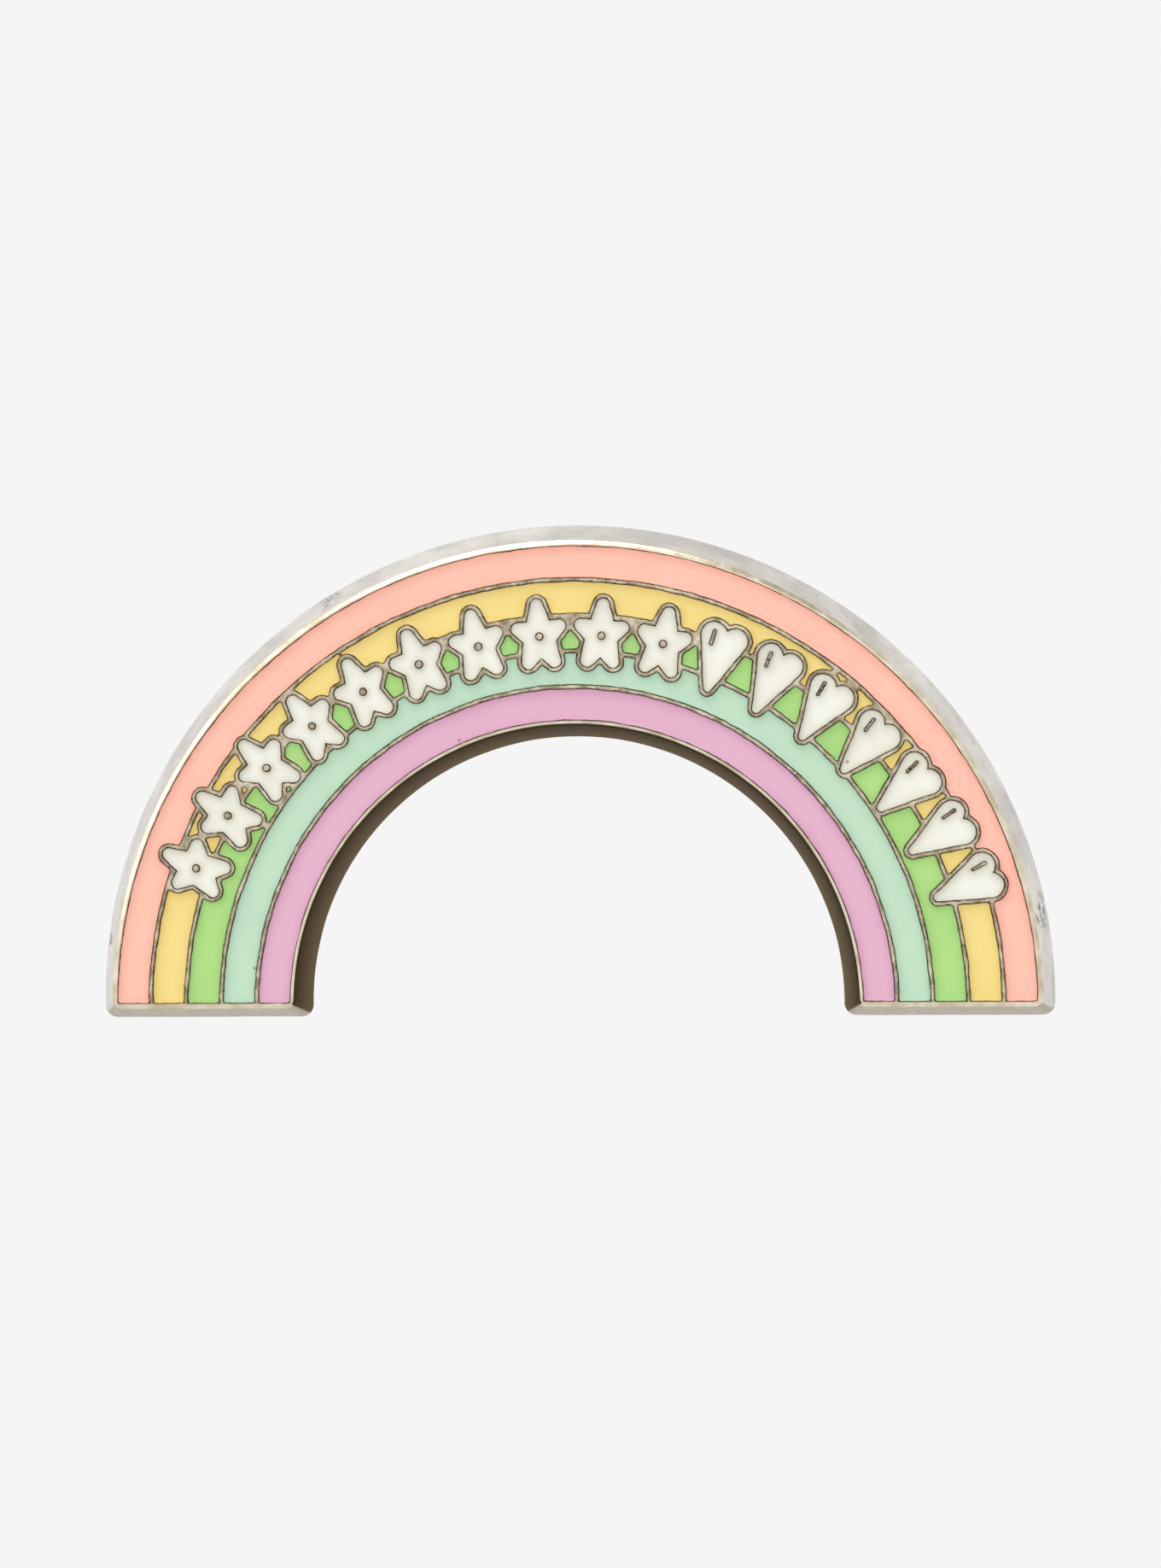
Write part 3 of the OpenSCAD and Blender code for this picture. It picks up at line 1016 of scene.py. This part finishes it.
def arch_look():
    """Nickel plate: cream lines with painted glints and dark edging that is partly staining and partly
    painted shade, a bevel painted light as a highlight, satin side walls, a foot wall painted darker as
    painted shade, and an inner wall painted dark brown with tarnish and painted shade.
    """
    look = Look("plated_casting")
    grain = look.noise(7.0, 4, 0.65)
    inner = look.mark("inner_wall")
    # Painted highlight: the rim's bevel is painted lighter than the lines.
    colour = look.mix(look.mark("rim"), line_colour(look, grain), bevel_highlight_colour(look))
    colour = look.mix(look.mark("side_wall"), colour, wall_colour(look))
    # Painted shade: the down-facing foot wall is painted darker beige than the other walls.
    colour = look.mix(look.mark("foot_wall"), colour, tint("#aca28d"))
    colour = look.mix(scuff_strength(look), colour, tint("#4f3f36"))
    # Painted shade: the inner wall is painted dark brown, partly tarnish and partly shade in place of
    # its dark reflection, darkest at the face.
    colour = look.mix(inner, colour, tarnish_and_shade_colour(look))
    colour = look.mix(look.mark("back_face"), colour, tint("#c9c3bb"))
    satin = look.spread(look.noise(3.0, 3), 0.3, 0.7, 0.26, 0.42)
    # The inner wall is rough and not metallic, so that reflections don't lighten its painted shade.
    look.set(Base_Color=colour, Roughness=look.add(satin, look.spread(inner, 0, 1, 0, 0.2)))
    look.set(Normal=look.bump(grain, 0.009, 0.5), Metallic=look.spread(inner, 0, 1, 0.9, 0.0))
    look.set(Specular_IOR_Level=look.spread(inner, 0, 1, 0.5, 0.02))
    return look.material


def enamel_look(name, middle, edge):
    """Soft enamel: glossy, painted darker beside the lines as painted shade and partly deeper colour,
    with rare dark specks.
    """
    look = Look(name)
    cloud = look.spread(look.noise(0.5, 3), 0.3, 0.7, -0.12, 0.12)
    near = look.spread(look.add(look.mark("near_wall"), cloud), 0, 1)
    # Painted shade: darker beside the lines, partly deeper colour.
    colour = look.mix(near, tint(middle), tint(edge))
    specks = look.node("ShaderNodeTexVoronoi", {"Vector": look.place, "Scale": 0.42 / MM})
    dots = look.spread(specks.outputs["Distance"], 0.028, 0.045, 1.0, 0.0)
    colour = look.mix(look.times(dots, 0.55), colour, tint("#6b5338"))
    rough = look.spread(look.noise(1.6, 3), 0.3, 0.7, 0.12, 0.22)
    look.set(Base_Color=colour, Roughness=rough, Normal=look.bump(look.noise(0.9, 2), 0.02, 0.5))
    look.set(IOR=1.5)
    return look.material


def metal_look(name, light, dark, rough_low, rough_high, grain_scale=6.0, relief=0.01):
    """Sheet metal or wire with patchy plating, fine grain and worn spots."""
    look = Look(name)
    patches = look.noise(0.8, 4)
    grain = look.noise(grain_scale, 4, 0.65)
    colour = look.mix(look.spread(patches, 0.32, 0.68), tint(dark), tint(light))
    worn = look.spread(look.noise(1.9, 5, 0.7), 0.6, 0.72)
    colour = look.mix(look.times(worn, 0.35), colour, tint("#8d7f6c"))
    rough = look.spread(grain, 0.3, 0.7, rough_low, rough_high)
    look.set(Base_Color=colour, Roughness=rough, Normal=look.bump(grain, relief, 0.6))
    look.set(Metallic=1.0)
    return look.material


# Each enamel's colour in the middle of a fill, and beside the lines, where it is darker: painted shade
# and partly deeper colour
ENAMELS = {
    "coral": ("#fdc2ae", "#fcab93"),
    "yellow": ("#f5dc86", "#e5c565"),
    "green": ("#aedd80", "#93c669"),
    "mint": ("#c1dfc3", "#a6ccb0"),
    "lilac": ("#e3b0c8", "#d398b6"),
    "white": ("#f3f2e6", "#c9c6b0"),
}


def build_pin():
    """Makes every piece; each one stands for one CAD node."""
    make_arch(arch_look())
    enamels = {name: enamel_look(f"{name}_enamel", *pair) for name, pair in ENAMELS.items()}
    for node, colour in FILLS.items():
        make_fill(node, enamels[colour])
    post_metal = metal_look("post_metal", "#d5d0ca", "#b9b2a9", 0.22, 0.34)
    solder = metal_look("solder", "#b5b2ad", "#8c8984", 0.32, 0.5, 3.0, 0.02)
    clutch_metal = metal_look("clutch_metal", "#dcd8d2", "#c4beb5", 0.18, 0.3, 6.0, 0.005)
    spring_steel = metal_look("spring_steel", "#c2c5c8", "#9da1a5", 0.2, 0.32)
    for side_name in SIDES:
        make_post(side_name, post_metal)
        make_solder(side_name, solder)
        make_clutch_base(side_name, clutch_metal)
        make_clutch_cover(side_name, clutch_metal)
        make_wing(side_name, "foot", clutch_metal)
        make_wing(side_name, "crown", clutch_metal)
        make_spring(side_name, spring_steel)


# ---- Studio ----


def make_floor():
    """A pale seamless floor that curves up into a backdrop all round. It glows evenly."""
    floor_z, flat_r, wall_r, wall_h = -0.09, 0.35, 0.75, 0.9
    rings = [(0.0, 0.0), (flat_r, 0.0)]
    bend = wall_r - flat_r
    for turn in np.radians(np.linspace(10, 90, 9)):
        rings.append((flat_r + bend * math.sin(turn), bend * (1 - math.cos(turn))))
    rings.append((wall_r, wall_h))
    sides = 96
    verts, faces = [], []
    for radius, z in rings:
        for i in range(sides):
            angle = 2 * math.pi * i / sides
            verts.append((radius * math.cos(angle), radius * math.sin(angle), z + floor_z))
    for k in range(len(rings) - 1):
        for i in range(sides):
            on = (i + 1) % sides
            faces.append((k * sides + i, k * sides + on, (k + 1) * sides + on, (k + 1) * sides + i))
    floor = new_object("studio_floor", verts, faces)
    floor.data.polygons.foreach_set("use_smooth", [True] * len(floor.data.polygons))
    look = Look("studio_paper")
    look.set(Base_Color=(0, 0, 0, 1), Roughness=1.0, Specular_IOR_Level=0.0)
    look.set(Emission_Color=tint("#f5f5f5"), Emission_Strength=1.0)
    floor.data.materials.append(look.material)


def add_softbox(name, place, aim, size, power):
    """A round area light at place, turned towards aim."""
    light = bpy.data.lights.new(name, "AREA")
    light.shape = "DISK"
    light.size = size
    light.energy = power
    lamp = bpy.data.objects.new(name, light)
    bpy.context.scene.collection.objects.link(lamp)
    lamp.location = place
    lamp.rotation_euler = (Vector(aim) - Vector(place)).to_track_quat("-Z", "Y").to_euler()


def make_studio():
    """Dim air all round, and three soft lights."""
    world = bpy.data.worlds.new("studio_air")
    world.use_nodes = True
    background = world.node_tree.nodes["Background"]
    background.inputs["Color"].default_value = tint("#f5f5f5")
    background.inputs["Strength"].default_value = 0.45
    bpy.context.scene.world = world
    middle = (0, 0, -0.01)
    add_softbox("top_light", (-0.12, -0.03, 0.5), middle, 0.4, 2.7)
    add_softbox("left_light", (-0.5, -0.06, 0.2), middle, 0.35, 0.5)
    add_softbox("front_light", (0.1, -0.6, 0.3), middle, 0.4, 0.45)


def make_camera():
    """Looks at the face from slightly right of straight ahead and slightly above."""
    turn, rise, roll = math.radians(3), math.radians(4), math.radians(-0.48)
    distance = 0.25
    aim = Vector((0.0003, -0.0024, -0.00696))
    back = Vector((
        math.sin(turn) * math.cos(rise),
        -math.cos(turn) * math.cos(rise),
        math.sin(rise),
    ))
    data = bpy.data.cameras.new("camera")
    data.sensor_width = 36
    data.lens = 124.5
    camera = bpy.data.objects.new("camera", data)
    bpy.context.scene.collection.objects.link(camera)
    camera.location = aim + back * distance
    upright = (-back).to_track_quat("-Z", "Y")
    camera.rotation_euler = (upright @ Quaternion((0, 0, 1), roll)).to_euler()
    bpy.context.scene.camera = camera


build_pin()
make_floor()
make_studio()
make_camera()
bpy.context.scene.view_settings.view_transform = "Standard"
